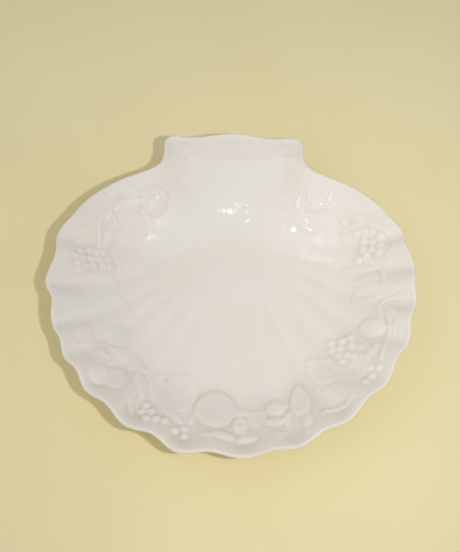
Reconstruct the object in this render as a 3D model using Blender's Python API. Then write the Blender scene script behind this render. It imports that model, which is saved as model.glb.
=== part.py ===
"""Oval scallop-shell platter in one piece: a fluted dish with a scalloped edge, a hinge tab at the back and a foot ring.

The frame has the table at z = 0, +Y towards the hinge tab and +X to the right of a viewer who faces the tab.
Lengths below are in millimetres, and the mesh is built in metres.
"""

import math

import bmesh
import bpy
import numpy as np

# ---- driving dimensions, mm and degrees ----
RIM_HEIGHT = 45.0        # table to the inner edge of the rim, between two lobes' middle and the ridges beside them
FLOOR_HEIGHT = 8.6       # table to the top of the floor
FLOOR_THICKNESS = 4.9    # body of the floor
WALL_THICKNESS = 4.8     # body of the wall, square to its slope
LIP_THICKNESS = 3.6      # diameter of the rounded rim
LIP_TILT = 15.0          # how far the rounded rim leans up and outwards
FOOT_CENTRE = (0.0, -12.0)
FOOT_HALF_LENGTH = 84.0  # middle of the foot ring, along X
FOOT_HALF_WIDTH = 70.0   # middle of the foot ring, along Y
FOOT_FLAT = 4.6          # width of the foot ring's flat
NEAR_WALL = 51.0         # plan width of the wall at the front,
SIDE_WALL = 55.0         # at the two ends
BACK_WALL = 76.0         # and below the hinge tab
UMBO = (0.0, 53.0)       # where the flutes meet
LOBES = (-86.5, -70.0, -57.5, -48.5, -38.5, -26.0, -12.5, 3.0, 15.5, 28.5, 42.0, 54.5, 66.0, 77.0, 88.0)  # bearings of the flutes
SCALLOPS = (2.2, 3.1, 1.1, 1.5, 1.7, 2.0, 2.8, 1.4, 1.6, 1.7, 1.9, 2.1, 1.5, 1.5, 1.8)  # how far the edge waves out and in at each
RIM_WAVE = 1.7           # how far the rim dips at each lobe, and rises between
FLOOR_WAVE = 0.4         # depth of the flutes on the floor
LEDGE_DROP = 1.7         # the hinge's band lies this far below the rim
RELIEF = 1.0             # scale of the fruit and leaf mounds on the border

# Right half of the rim's inner edge, front to back.
HALF_EDGE = (
    (0.0, -137.0), (29.0, -134.5), (57.0, -125.5), (82.0, -111.5), (104.5, -93.5), (123.0, -71.0), (137.0, -44.5),
    (145.0, -15.2), (146.6, 15.6), (140.0, 45.0), (123.0, 70.5), (99.5, 89.0), (80.0, 98.2), (69.5, 103.0),
    (61.4, 109.5), (58.6, 118.0), (58.4, 127.0), (57.9, 132.6), (53.4, 135.5), (42.0, 134.8), (30.0, 135.0),
    (15.0, 137.7), (0.0, 139.0),
)

# Crease that ends the hinge's band, left to right: it is widest at the two ledges and narrow across the middle.
CREASE = (
    (-62.0, 119.0), (-49.0, 119.5), (-42.0, 121.7), (-35.5, 125.6), (-29.0, 129.4), (-21.7, 132.1), (-12.0, 133.5), (0.0, 133.7), (11.0, 133.4),
    (20.0, 132.3), (29.6, 129.3), (37.0, 126.2), (43.0, 123.8), (52.0, 123.1), (62.0, 123.0),
)

# Soft mounds of the border: centre, half-sizes, turn in degrees, height.
MOUNDS = (
    (-88.0, 56.5, 14.0, 13.5, 0.0, 1.8),      # round fruit, back left
    (-68.0, 78.0, 10.5, 10.0, 0.0, 1.4),
    (-117.0, 24.0, 17.0, 10.0, -5.0, 1.5),    # bunch of grapes, left
    (-119.0, -41.5, 7.5, 7.5, 0.0, 1.2),
    (-94.5, -37.5, 9.5, 9.0, 0.0, 1.3),
    (-98.0, -76.0, 14.0, 9.5, -5.0, 1.8),     # pair of fruits, front left
    (-45.0, -84.0, 22.0, 15.0, 0.0, 0.6),     # broad leaf, front left
    (-60.0, -106.0, 11.0, 6.0, -25.0, 1.4),   # berries
    (-13.0, -98.0, 16.3, 16.5, 0.0, 2.2),     # large round fruit, front
    (34.0, -96.8, 7.8, 7.8, 0.0, 1.6),
    (54.0, -91.0, 9.5, 15.0, 0.0, 1.4),       # pointed fruit, front right
    (84.0, -65.0, 22.0, 9.0, 0.0, 0.9),       # broad leaf, front right
    (83.0, -90.0, 15.0, 8.5, 25.0, 0.9),
    (91.0, -46.0, 12.0, 11.0, 0.0, 1.5),      # bunch of grapes, right
    (115.0, -31.0, 12.0, 9.0, -3.0, 2.0),     # oval fruit, right
    (78.5, 57.5, 13.0, 13.0, 0.0, 1.7),       # round fruit, back right
    (116.0, 43.0, 13.0, 12.0, 0.0, 1.5),      # bunch of grapes, back right
)

FLUTE_COLUMNS = 8        # across each flute
PLAIN_COLUMNS = 72       # round the shoulders and the hinge
ROWS = (0.0, 0.016, 0.034, 0.056, 0.080, 0.107, 0.138, 0.171, 0.207, 0.250, 0.300)   # shares of the way from rim to umbo
MIDDLE_ROWS = (0.355, 0.415, 0.48, 0.55, 0.625)                                       # half as many columns
INNER_ROWS = (0.71, 0.81, 0.91)                                                       # a quarter as many
LIP_STEPS = 5


def smooth(x, low, high):
    t = np.clip((x - low) / (high - low), 0.0, 1.0)
    return t * t * (3.0 - 2.0 * t)


def closed_spline(points, steps):
    """Centripetal curve through a closed loop of points."""
    p = np.array(points, float)
    count = len(p)
    out = []
    for i in range(count):
        a, b, c, d = p[i - 1], p[i], p[(i + 1) % count], p[(i + 2) % count]
        t0 = 0.0
        t1 = t0 + np.linalg.norm(b - a) ** 0.5
        t2 = t1 + np.linalg.norm(c - b) ** 0.5
        t3 = t2 + np.linalg.norm(d - c) ** 0.5
        t = np.linspace(t1, t2, steps, endpoint=False)[:, None]
        q1 = (t1 - t) / (t1 - t0) * a + (t - t0) / (t1 - t0) * b
        q2 = (t2 - t) / (t2 - t1) * b + (t - t1) / (t2 - t1) * c
        q3 = (t3 - t) / (t3 - t2) * c + (t - t2) / (t3 - t2) * d
        r1 = (t2 - t) / (t2 - t0) * q1 + (t - t0) / (t2 - t0) * q2
        r2 = (t3 - t) / (t3 - t1) * q2 + (t - t1) / (t3 - t1) * q3
        out.append((t2 - t) / (t2 - t1) * r1 + (t - t1) / (t2 - t1) * r2)
    return np.concatenate(out)


def flutes(x, y):
    """Wave that is 1 along the middle of each flute and -1 on each rib, a window that is 1 where there are flutes, and the reach."""
    bearing = np.degrees(np.arctan2(x - UMBO[0], UMBO[1] - y))
    count = np.interp(bearing, LOBES, np.arange(len(LOBES)))
    reach = np.interp(bearing, LOBES, SCALLOPS)
    count = count + np.minimum(bearing - LOBES[0], 0.0) / 14.0 + np.maximum(bearing - LOBES[-1], 0.0) / 12.0
    window = smooth(bearing, LOBES[0] - 13.0, LOBES[0] - 1.0) * (1.0 - smooth(bearing, LOBES[-1] + 1.0, LOBES[-1] + 13.0))
    return np.cos(2.0 * np.pi * count), window, reach


def rim_edge():
    """The rim's inner edge in plan, as a closed loop of close points, turning left about +Z."""
    loop = list(HALF_EDGE) + [(-x, y) for x, y in HALF_EDGE[-2:0:-1]]
    p = closed_spline(loop, 40)
    wave, window, reach = flutes(p[:, 0], p[:, 1])
    out = p - np.array(UMBO)
    out /= np.linalg.norm(out, axis=1)[:, None]
    return p + out * (reach * wave * window)[:, None]


EDGE = rim_edge()


def along_edge(count):
    """Points spread evenly round the edge."""
    loop = np.vstack([EDGE, EDGE[:1]])
    s = np.concatenate([[0.0], np.cumsum(np.linalg.norm(np.diff(loop, axis=0), axis=1))])
    at = np.linspace(0.0, s[-1], count, endpoint=False)
    return np.column_stack([np.interp(at, s, loop[:, 0]), np.interp(at, s, loop[:, 1])])


FINE = along_edge(640)
FINE_STEP = float(np.linalg.norm(np.roll(FINE, -1, 0) - FINE, axis=1).mean())
POWER = 7.0
FIELD = math.sqrt(math.pi) * math.gamma((POWER - 1.0) / 2.0) / math.gamma(POWER / 2.0)


def depth(x, y):
    """Distance in from the edge, with the creases that a plain distance has at the corners rounded off."""
    out = np.empty(len(x))
    along = np.roll(FINE, -1, 0) - FINE
    squared = (along ** 2).sum(1)
    for start in range(0, len(x), 4000):
        p = np.column_stack([x[start:start + 4000], y[start:start + 4000]])
        d = p[:, None, :] - FINE[None]
        t = np.clip((d * along[None]).sum(2) / squared[None], 0.0, 1.0)
        plain = np.sqrt(((d - t[..., None] * along[None]) ** 2).sum(2)).min(1)
        total = (((d ** 2).sum(2) + 1e-6) ** (-POWER / 2.0)).sum(1) * FINE_STEP / FIELD
        soft = total ** (-1.0 / (POWER - 1.0))
        mix = smooth(plain, 3.0, 7.0)
        out[start:start + 4000] = plain * (1.0 - mix) + soft * mix
    return out


def bend(u, radius):
    """A straight line of slope 1 that turns level at 0 within about the radius."""
    return 0.5 * (u + np.sqrt(u * u + radius * radius))


def shoulder(x, y, d):
    """Extra height of the slope under the hinge, which rises quickly from the floor and eases off towards the tab, and of the tab's two corners."""
    reach = np.where(y < 93.0, 24.0, 40.0)
    middle = 5.6 * np.exp(-((y - 93.0) / reach) ** 2 - (x / 33.0) ** 2) * (1.0 - smooth(y, 118.0, 138.0))
    corner = 3.2 * smooth(y, 97.0, 119.0) * np.exp(-((np.abs(x) - 44.0) / 15.0) ** 2) * smooth(d, 1.0, 11.0)
    flank = 1.2 * np.exp(-((np.abs(x) - 62.0) / 20.0) ** 2 - ((y - 47.0) / 11.0) ** 2)
    inner = 1.3 * np.exp(-((np.abs(x) - 27.0) / 11.0) ** 2) * smooth(y, 84.0, 100.0) * (1.0 - smooth(y, 114.0, 128.0))
    outer = 1.0 * np.exp(-((np.abs(x) - 47.0) / 9.0) ** 2) * smooth(y, 84.0, 98.0) * (1.0 - smooth(y, 110.0, 121.0)) * smooth(d, 0.5, 8.0)
    crest = 0.75 * np.exp(-((y - 130.0) / 5.0) ** 2 - (x / 27.0) ** 2) * smooth(d, 0.0, 6.0)
    return middle + corner + flank + inner - outer + crest


def dish(x, y, under=False):
    """Height of the dish's upper surface, with its flutes but no mounds, and the depth. Underneath, the floor has no flutes."""
    d = depth(x, y)
    bearing = np.abs(np.arctan2(x, -y))
    near = 1.0 - smooth(bearing, 0.4, 1.5)
    back = smooth(bearing, 1.95, 2.95)
    width = SIDE_WALL + (NEAR_WALL - SIDE_WALL) * near + (BACK_WALL - SIDE_WALL) * back
    u = 1.0 - d / width
    g = (bend(u, 0.2) / bend(1.0, 0.2)) ** (1.18 + 0.12 * near - 0.14 * back)
    z = FLOOR_HEIGHT + (RIM_HEIGHT - FLOOR_HEIGHT) * g + shoulder(x, y, d)
    wave, window, _ = flutes(x, y)
    deep = FLOOR_WAVE * smooth(np.hypot(x - UMBO[0], y - UMBO[1]), 42.0, 90.0)
    deep = deep + (RIM_WAVE + 0.3 - FLOOR_WAVE) * (1.0 - smooth(d, 6.0, 38.0))
    deep = deep - 0.5 * (1.0 - smooth(d, 0.0, 9.0))
    if under:
        deep = deep * smooth(z, FLOOR_HEIGHT + 2.0, FLOOR_HEIGHT + 16.0)
    return z - deep * wave * window, d


def crease(x):
    """Y of the crease in front of the hinge's band."""
    line = np.array(CREASE)
    return sum(np.interp(x + shift, line[:, 0], line[:, 1]) for shift in (-3.0, -1.0, 1.0, 3.0)) / 4.0


def hinge(x, y, z):
    """Lifts the hinge's band, which ends in two ledges."""
    on = smooth(y - crease(x), -2.2, 3.2) * (1.0 - smooth(np.abs(x), 56.0, 60.5))
    level = RIM_HEIGHT - LEDGE_DROP
    return z + np.maximum(level - z, 0.0) * on


def mounds(x, y):
    total = np.zeros(len(x))
    for cx, cy, a, b, turn, height in MOUNDS:
        c, s = math.cos(math.radians(turn)), math.sin(math.radians(turn))
        u = ((x - cx) * c + (y - cy) * s) / a
        v = (-(x - cx) * s + (y - cy) * c) / b
        r = np.hypot(u, v)
        total = np.maximum(total, height * np.clip(1.0 - r ** 2.4, 0.0, 1.0) ** 0.8)
    return RELIEF * total


def upper(x, y):
    z, d = dish(x, y)
    return hinge(x, y, z) + mounds(x, y) * smooth(d, 2.0, 9.0)


def lower(x, y):
    """Height of the underside: the plain upper surface less the body's thickness, square to the slope."""
    z, d = dish(x, y, True)
    step = 0.5
    zx = (dish(x + step, y, True)[0] - dish(x - step, y, True)[0]) / (2.0 * step)
    zy = (dish(x, y + step, True)[0] - dish(x, y - step, True)[0]) / (2.0 * step)
    slope = np.sqrt(1.0 + zx ** 2 + zy ** 2)
    wall = smooth(z, FLOOR_HEIGHT + 1.0, FLOOR_HEIGHT + 9.0)
    body = FLOOR_THICKNESS + (WALL_THICKNESS - FLOOR_THICKNESS) * wall
    rim = 1.0 - smooth(d, 0.0, 14.0)
    return z - body * slope * (1.0 - rim) - LIP_THICKNESS * slope * rim


def foot_loop(bearings, offset):
    """Points of a loop this far outside the middle of the foot ring, in the given bearings from its centre."""
    t = np.arctan2(np.sin(bearings) / FOOT_HALF_WIDTH, np.cos(bearings) / FOOT_HALF_LENGTH)
    px, py = FOOT_HALF_LENGTH * np.cos(t), FOOT_HALF_WIDTH * np.sin(t)
    nx, ny = np.cos(t) / FOOT_HALF_LENGTH, np.sin(t) / FOOT_HALF_WIDTH
    size = np.hypot(nx, ny)
    return FOOT_CENTRE[0] + px + offset * nx / size, FOOT_CENTRE[1] + py + offset * ny / size


class Shell:
    """A bmesh that grows loop by loop, each joined to the loop before it by a band of faces."""

    def __init__(self):
        self.bm = bmesh.new()

    def loop(self, x, y, z):
        return [self.bm.verts.new((0.001 * a, 0.001 * b, 0.001 * c)) for a, b, c in zip(x.tolist(), y.tolist(), z.tolist())]

    def band(self, first, second, flip=False):
        """Faces between two loops. The second may hold half as many points. The first is the outer one on a face that looks up."""
        n, m = len(first), len(second)
        for i in range(m):
            j = (i + 1) % m
            if n == m:
                faces = [(first[i], first[j], second[j]), (first[i], second[j], second[i])]
            else:
                a, b, c = first[2 * i], first[2 * i + 1], first[(2 * i + 2) % n]
                faces = [(a, b, second[i]), (b, second[j], second[i]), (b, c, second[j])]
            for face in faces:
                self.bm.faces.new(face[::-1] if flip else face)

    def cap(self, loop, x, y, z, flip=False):
        """A fan of faces from a loop to one point."""
        middle = self.bm.verts.new((0.001 * x, 0.001 * y, 0.001 * z))
        for i in range(len(loop)):
            face = (loop[i], loop[(i + 1) % len(loop)], middle)
            self.bm.faces.new(face[::-1] if flip else face)


def columns():
    """Points of the edge that the columns start from: in step with the flutes, then round the shoulders and the hinge."""
    loop = np.vstack([EDGE, EDGE[:1]])
    bearing = np.unwrap(np.arctan2(loop[:, 0] - UMBO[0], UMBO[1] - loop[:, 1]))
    loop = np.vstack([loop, loop[1:]])
    bearing = np.concatenate([bearing, bearing[1:] + 2.0 * math.pi])
    steps = np.linalg.norm(np.diff(loop, axis=0), axis=1)
    middle = 0.5 * (loop[1:] + loop[:-1])
    corners = smooth(middle[:, 1], 96.0, 104.0) * smooth(np.abs(middle[:, 0]), 44.0, 52.0) * (1.0 - smooth(np.abs(middle[:, 0]), 72.0, 84.0))
    s = np.concatenate([[0.0], np.cumsum(steps * (1.0 + 0.9 * corners))])
    flute = (len(LOBES) - 1) * FLUTE_COLUMNS
    turn = np.radians(np.interp(np.arange(flute) / FLUTE_COLUMNS, np.arange(len(LOBES)), LOBES)) + 2.0 * math.pi
    fluted = np.interp(turn, bearing, s)
    first = float(np.interp(math.radians(LOBES[-1]), bearing, s))
    plain = np.linspace(first, float(fluted[0]), PLAIN_COLUMNS, endpoint=False)
    at = np.concatenate([plain, fluted])
    return np.column_stack([np.interp(at, s, loop[:, 0]), np.interp(at, s, loop[:, 1])])


def build():
    shell = Shell()
    edge = columns()
    centre = np.array(UMBO)
    # Upper surface, from the rim to the umbo.
    before = None
    for rows, every in ((ROWS, 1), (MIDDLE_ROWS, 2), (INNER_ROWS, 4)):
        for row in rows:
            p = centre + (edge[::every] - centre) * (1.0 - row)
            z = upper(p[:, 0], p[:, 1])
            loop = shell.loop(p[:, 0], p[:, 1], z)
            if before is None:
                rim_loop, rim_z = loop, z
            else:
                shell.band(before, loop)
            before = loop
    shell.cap(before, UMBO[0], UMBO[1], float(upper(centre[:1], centre[1:])[0]))
    # Rounded rim, a half circle that leans up and outwards.
    tangent = np.roll(edge, -1, 0) - np.roll(edge, 1, 0)
    out = np.column_stack([tangent[:, 1], -tangent[:, 0]])
    out /= np.linalg.norm(out, axis=1)[:, None]
    tilt = math.radians(LIP_TILT)
    half = LIP_THICKNESS / 2.0
    before = rim_loop
    for k in range(1, LIP_STEPS + 1):
        turn = math.pi * k / LIP_STEPS
        flat = half * (math.sin(tilt) + math.sin(turn) * math.cos(tilt) - math.cos(turn) * math.sin(tilt))
        rise = half * (-math.cos(tilt) + math.sin(turn) * math.sin(tilt) + math.cos(turn) * math.cos(tilt))
        loop = shell.loop(edge[:, 0] + out[:, 0] * flat, edge[:, 1] + out[:, 1] * flat, rim_z + rise)
        shell.band(before, loop, flip=True)
        before = loop
    # Underside of the wall, from the rim down to the foot ring.
    bearings = np.arctan2(edge[:, 1] - FOOT_CENTRE[1], edge[:, 0] - FOOT_CENTRE[0])
    flank = FOOT_FLAT / 2.0 + 3.4
    foot_x, foot_y = foot_loop(bearings, flank)
    start = edge + out * (2.0 * half * math.sin(tilt))
    for share, every in ((0.07, 1), (0.18, 1), (0.32, 1), (0.48, 1), (0.64, 2), (0.82, 2), (1.0, 2)):
        x = (start[:, 0] * (1.0 - share) + foot_x * share)[::every]
        y = (start[:, 1] * (1.0 - share) + foot_y * share)[::every]
        loop = shell.loop(x, y, lower(x, y))
        shell.band(before, loop, flip=True)
        before = loop
    # Foot ring, with an exactly level flat.
    bearings = bearings[::2]
    for offset, rise in ((FOOT_FLAT / 2.0 + 1.9, 2.0), (FOOT_FLAT / 2.0 + 0.9, 0.5), (FOOT_FLAT / 2.0, 0.0),
                         (-FOOT_FLAT / 2.0, 0.0), (-FOOT_FLAT / 2.0 - 0.9, 0.5), (-FOOT_FLAT / 2.0 - 1.9, 2.0), (-flank, None)):
        x, y = foot_loop(bearings, offset)
        z = lower(x, y) if rise is None else np.full(len(x), rise)
        loop = shell.loop(x, y, z)
        shell.band(before, loop, flip=True)
        before = loop
    # Underside of the floor.
    inner_x, inner_y = x[::2], y[::2]
    for share in (0.75, 0.45, 0.2):
        x = FOOT_CENTRE[0] + (inner_x - FOOT_CENTRE[0]) * share
        y = FOOT_CENTRE[1] + (inner_y - FOOT_CENTRE[1]) * share
        loop = shell.loop(x, y, lower(x, y))
        shell.band(before, loop, flip=True)
        before = loop
    middle = float(lower(np.array([FOOT_CENTRE[0]]), np.array([FOOT_CENTRE[1]]))[0])
    shell.cap(before, FOOT_CENTRE[0], FOOT_CENTRE[1], middle, flip=True)
    return shell.bm


def cream_glaze():
    """Glossy cream glaze over a pale earthenware body."""
    material = bpy.data.materials.new("cream_glaze")
    material.use_nodes = True
    surface = material.node_tree.nodes["Principled BSDF"]
    surface.inputs["Base Color"].default_value = (0.74, 0.69, 0.60, 1.0)
    surface.inputs["Roughness"].default_value = 0.16
    surface.inputs["Metallic"].default_value = 0.0
    surface.inputs["Coat Weight"].default_value = 0.5
    material.diffuse_color = (0.74, 0.69, 0.60, 1.0)
    return material


def main():
    for obj in list(bpy.data.objects):
        bpy.data.objects.remove(obj)
    shell = build()
    mesh = bpy.data.meshes.new("shell_platter")
    shell.to_mesh(mesh)
    shell.free()
    mesh.materials.append(cream_glaze())
    mesh.shade_smooth()
    mesh.set_sharp_from_angle(angle=math.radians(50.0))
    platter = bpy.data.objects.new("shell_platter", mesh)
    bpy.context.scene.collection.objects.link(platter)


main()
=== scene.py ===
"""Looks of an oval scallop-shell platter in cream-glazed earthenware, with fruit and leaves in low relief round its border.

Plan lengths are in millimetres: x to the right of a viewer who faces the hinge tab, y towards the tab, z up from the table.
"""

import math

import bpy
import numpy as np
from mathutils import Matrix, Vector


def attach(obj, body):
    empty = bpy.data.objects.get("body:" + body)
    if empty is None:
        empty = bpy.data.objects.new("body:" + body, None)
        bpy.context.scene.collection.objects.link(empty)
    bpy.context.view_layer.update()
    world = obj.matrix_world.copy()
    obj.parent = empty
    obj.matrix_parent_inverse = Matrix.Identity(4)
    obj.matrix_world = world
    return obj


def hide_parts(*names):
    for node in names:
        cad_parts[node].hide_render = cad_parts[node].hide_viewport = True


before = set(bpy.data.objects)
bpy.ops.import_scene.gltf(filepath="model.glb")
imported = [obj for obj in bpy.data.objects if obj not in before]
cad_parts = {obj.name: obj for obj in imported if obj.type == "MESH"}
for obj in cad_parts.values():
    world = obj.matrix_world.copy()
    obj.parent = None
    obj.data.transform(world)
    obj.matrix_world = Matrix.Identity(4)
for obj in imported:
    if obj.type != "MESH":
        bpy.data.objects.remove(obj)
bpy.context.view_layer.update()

# ---------------------------------------------------------------- the body's form, as in the CAD part

RIM_HEIGHT = 45.0
FLOOR_HEIGHT = 8.6
FLOOR_THICKNESS = 4.9
WALL_THICKNESS = 4.8
LIP_THICKNESS = 3.6
LIP_TILT = 15.0
FOOT_CENTRE = (0.0, -12.0)
FOOT_HALF_LENGTH = 84.0
FOOT_HALF_WIDTH = 70.0
FOOT_FLAT = 4.6
NEAR_WALL = 51.0
SIDE_WALL = 55.0
BACK_WALL = 76.0
UMBO = (0.0, 53.0)
LOBES = (-86.5, -70.0, -57.5, -48.5, -38.5, -26.0, -12.5, 3.0, 15.5, 28.5, 42.0, 54.5, 66.0, 77.0, 88.0)
SCALLOPS = (2.2, 3.1, 1.1, 1.5, 1.7, 2.0, 2.8, 1.4, 1.6, 1.7, 1.9, 2.1, 1.5, 1.5, 1.8)
RIM_WAVE = 1.7
FLOOR_WAVE = 0.35
LEDGE_DROP = 1.7

HALF_EDGE = (
    (0.0, -137.0), (29.0, -134.5), (57.0, -125.5), (82.0, -111.5), (104.5, -93.5), (123.0, -71.0), (137.0, -44.5),
    (145.0, -15.2), (146.6, 15.6), (140.0, 45.0), (123.0, 70.5), (99.5, 89.0), (80.0, 98.2), (69.5, 103.0),
    (61.4, 109.5), (58.6, 118.0), (58.4, 127.0), (57.9, 132.6), (53.4, 135.5), (42.0, 134.8), (30.0, 135.0),
    (15.0, 137.7), (0.0, 139.0),
)

# Crease that ends the hinge's band, left to right: it is widest at the two ledges and narrow across the middle.
CREASE = (
    (-62.0, 119.0), (-49.0, 119.5), (-42.0, 121.7), (-35.5, 125.6), (-29.0, 129.4), (-21.7, 132.1), (-12.0, 133.5), (0.0, 133.7), (11.0, 133.4),
    (20.0, 132.3), (29.6, 129.3), (37.0, 126.2), (43.0, 123.8), (52.0, 123.1), (62.0, 123.0),
)


def smooth(x, low, high):
    t = np.clip((x - low) / (high - low), 0.0, 1.0)
    return t * t * (3.0 - 2.0 * t)


def spline(points, steps, closed):
    """Centripetal curve through points."""
    p = np.array(points, float)
    if not closed:
        p = np.vstack([2.0 * p[0] - p[1], p, 2.0 * p[-1] - p[-2]])
    count = len(p)
    out = []
    for i in range(count if closed else count - 3):
        if closed:
            a, b, c, d = p[i - 1], p[i], p[(i + 1) % count], p[(i + 2) % count]
        else:
            a, b, c, d = p[i], p[i + 1], p[i + 2], p[i + 3]
        t0 = 0.0
        t1 = t0 + np.linalg.norm(b - a) ** 0.5
        t2 = t1 + np.linalg.norm(c - b) ** 0.5
        t3 = t2 + np.linalg.norm(d - c) ** 0.5
        t = np.linspace(t1, t2, steps, endpoint=False)[:, None]
        q1 = (t1 - t) / (t1 - t0) * a + (t - t0) / (t1 - t0) * b
        q2 = (t2 - t) / (t2 - t1) * b + (t - t1) / (t2 - t1) * c
        q3 = (t3 - t) / (t3 - t2) * c + (t - t2) / (t3 - t2) * d
        r1 = (t2 - t) / (t2 - t0) * q1 + (t - t0) / (t2 - t0) * q2
        r2 = (t3 - t) / (t3 - t1) * q2 + (t - t1) / (t3 - t1) * q3
        out.append((t2 - t) / (t2 - t1) * r1 + (t - t1) / (t2 - t1) * r2)
    if not closed:
        out.append(p[-2:-1])
    return np.concatenate(out)


def flutes(x, y):
    """Wave that is 1 along the middle of each flute and -1 on each rib, a window that is 1 where there are flutes, and the reach."""
    bearing = np.degrees(np.arctan2(x - UMBO[0], UMBO[1] - y))
    count = np.interp(bearing, LOBES, np.arange(len(LOBES)))
    reach = np.interp(bearing, LOBES, SCALLOPS)
    count = count + np.minimum(bearing - LOBES[0], 0.0) / 14.0 + np.maximum(bearing - LOBES[-1], 0.0) / 12.0
    window = smooth(bearing, LOBES[0] - 13.0, LOBES[0] - 1.0) * (1.0 - smooth(bearing, LOBES[-1] + 1.0, LOBES[-1] + 13.0))
    return np.cos(2.0 * np.pi * count), window, reach


def painted_flute_shade(x, y):
    """Painted shade and light of the flutes: 1 along the middle of each flute, which the material paints lighter, and
    -1 on each rib, which it paints darker, fading out near the umbo.
    """
    focus = np.array([0.0, 51.0])
    edge_bearing = np.degrees(np.arctan2(EDGE[:, 0] - UMBO[0], UMBO[1] - EDGE[:, 1]))
    order = np.argsort(edge_bearing)
    lobe_x = np.interp(LOBES, edge_bearing[order], EDGE[order, 0])
    lobe_y = np.interp(LOBES, edge_bearing[order], EDGE[order, 1])
    from_focus = np.degrees(np.arctan2(lobe_x - focus[0], focus[1] - lobe_y))
    bearing = np.degrees(np.arctan2(x - focus[0], focus[1] - y))
    count = np.interp(bearing, from_focus, np.arange(len(LOBES)))
    window = smooth(bearing, from_focus[0] - 10.0, from_focus[0] + 4.0) * (1.0 - smooth(bearing, from_focus[-1] - 4.0, from_focus[-1] + 10.0))
    reach = np.hypot(x - UMBO[0], y - UMBO[1])
    front = smooth(np.abs(bearing + 2.0), 12.0, 32.0)
    out = smooth(reach, 95.0, 150.0)
    strength = smooth(reach, 44.0, 88.0) * (0.10 + 1.02 * front + 0.42 * out * (1.0 - front) - 0.20 * out * front)
    wave = np.cos(2.0 * np.pi * count)
    return (wave + 0.18 * (wave * wave - 0.5)) * window * strength


def rim_edge():
    loop = list(HALF_EDGE) + [(-x, y) for x, y in HALF_EDGE[-2:0:-1]]
    p = spline(loop, 40, True)
    wave, window, reach = flutes(p[:, 0], p[:, 1])
    out = p - np.array(UMBO)
    out /= np.linalg.norm(out, axis=1)[:, None]
    return p + out * (reach * wave * window)[:, None]


EDGE = rim_edge()


def along_edge(count):
    loop = np.vstack([EDGE, EDGE[:1]])
    s = np.concatenate([[0.0], np.cumsum(np.linalg.norm(np.diff(loop, axis=0), axis=1))])
    at = np.linspace(0.0, s[-1], count, endpoint=False)
    return np.column_stack([np.interp(at, s, loop[:, 0]), np.interp(at, s, loop[:, 1])])


FINE = along_edge(640)
FINE_STEP = float(np.linalg.norm(np.roll(FINE, -1, 0) - FINE, axis=1).mean())
POWER = 7.0
FIELD = math.sqrt(math.pi) * math.gamma((POWER - 1.0) / 2.0) / math.gamma(POWER / 2.0)


def depth(x, y):
    """Distance in from the edge, with the creases that a plain distance has at the corners rounded off."""
    out = np.empty(len(x))
    along = np.roll(FINE, -1, 0) - FINE
    squared = (along ** 2).sum(1)
    for start in range(0, len(x), 4000):
        p = np.column_stack([x[start:start + 4000], y[start:start + 4000]])
        d = p[:, None, :] - FINE[None]
        t = np.clip((d * along[None]).sum(2) / squared[None], 0.0, 1.0)
        plain = np.sqrt(((d - t[..., None] * along[None]) ** 2).sum(2)).min(1)
        total = (((d ** 2).sum(2) + 1e-6) ** (-POWER / 2.0)).sum(1) * FINE_STEP / FIELD
        soft = total ** (-1.0 / (POWER - 1.0))
        mix = smooth(plain, 3.0, 7.0)
        out[start:start + 4000] = plain * (1.0 - mix) + soft * mix
    return out


def bend(u, radius):
    return 0.5 * (u + np.sqrt(u * u + radius * radius))


def shoulder(x, y, d):
    """Extra height of the slope under the hinge, which rises quickly from the floor and eases off towards the tab, and of the tab's two corners."""
    reach = np.where(y < 93.0, 24.0, 40.0)
    middle = 5.6 * np.exp(-((y - 93.0) / reach) ** 2 - (x / 33.0) ** 2) * (1.0 - smooth(y, 118.0, 138.0))
    corner = 3.2 * smooth(y, 97.0, 119.0) * np.exp(-((np.abs(x) - 44.0) / 15.0) ** 2) * smooth(d, 1.0, 11.0)
    flank = 1.2 * np.exp(-((np.abs(x) - 62.0) / 20.0) ** 2 - ((y - 47.0) / 11.0) ** 2)
    inner = 1.3 * np.exp(-((np.abs(x) - 27.0) / 11.0) ** 2) * smooth(y, 84.0, 100.0) * (1.0 - smooth(y, 114.0, 128.0))
    outer = 1.0 * np.exp(-((np.abs(x) - 47.0) / 9.0) ** 2) * smooth(y, 84.0, 98.0) * (1.0 - smooth(y, 110.0, 121.0)) * smooth(d, 0.5, 8.0)
    crest = 0.75 * np.exp(-((y - 130.0) / 5.0) ** 2 - (x / 27.0) ** 2) * smooth(d, 0.0, 6.0)
    return middle + corner + flank + inner - outer + crest


def dish(x, y, under=False):
    """Height of the dish's upper surface, with its flutes but no relief, and the depth."""
    d = depth(x, y)
    bearing = np.abs(np.arctan2(x, -y))
    near = 1.0 - smooth(bearing, 0.4, 1.5)
    back = smooth(bearing, 1.95, 2.95)
    width = SIDE_WALL + (NEAR_WALL - SIDE_WALL) * near + (BACK_WALL - SIDE_WALL) * back
    u = 1.0 - d / width
    g = (bend(u, 0.2) / bend(1.0, 0.2)) ** (1.18 + 0.12 * near - 0.14 * back)
    z = FLOOR_HEIGHT + (RIM_HEIGHT - FLOOR_HEIGHT) * g + shoulder(x, y, d)
    wave, window, _ = flutes(x, y)
    deep = FLOOR_WAVE * smooth(np.hypot(x - UMBO[0], y - UMBO[1]), 42.0, 90.0)
    deep = deep + (RIM_WAVE + 0.3 - FLOOR_WAVE) * (1.0 - smooth(d, 6.0, 38.0))
    deep = deep - 0.5 * (1.0 - smooth(d, 0.0, 9.0))
    if under:
        deep = deep * smooth(z, FLOOR_HEIGHT + 2.0, FLOOR_HEIGHT + 16.0)
    return z - deep * wave * window, d


def crease(x):
    line = np.array(CREASE)
    return sum(np.interp(x + shift, line[:, 0], line[:, 1]) for shift in (-3.0, -1.0, 1.0, 3.0)) / 4.0


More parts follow.
